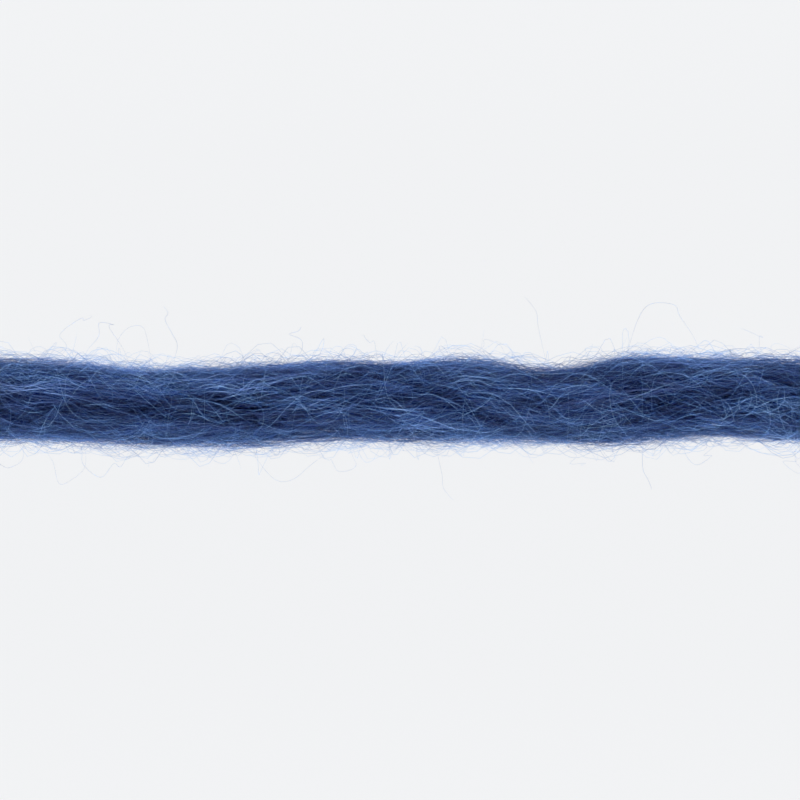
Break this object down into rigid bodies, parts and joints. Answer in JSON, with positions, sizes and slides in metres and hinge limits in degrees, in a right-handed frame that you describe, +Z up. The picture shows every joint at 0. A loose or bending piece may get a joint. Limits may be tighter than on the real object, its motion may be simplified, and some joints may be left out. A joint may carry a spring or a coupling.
{
  "type": "knitting yarn",
  "caption": "Short straight cut of soft plied wool knitting yarn in denim blue, its plump fuzzy strands twisted round each other to the right.",
  "frame": {"origin": "the middle of the yarn's length, on the surface that it lies on", "axes": "+X along the yarn, +Z up from the surface; seen from above, the upper strand runs from +Y at lower X to -Y at higher X"},
  "size_m": [0.072, 0.007, 0.0062],
  "materials": {
    "wool": "soft matt fuzzy wool, denim blue, with paler stray fibres"
  },
  "bodies": {
    "root": {"ply_a": "wool", "ply_b": "wool"}
  },
  "joints": []
}
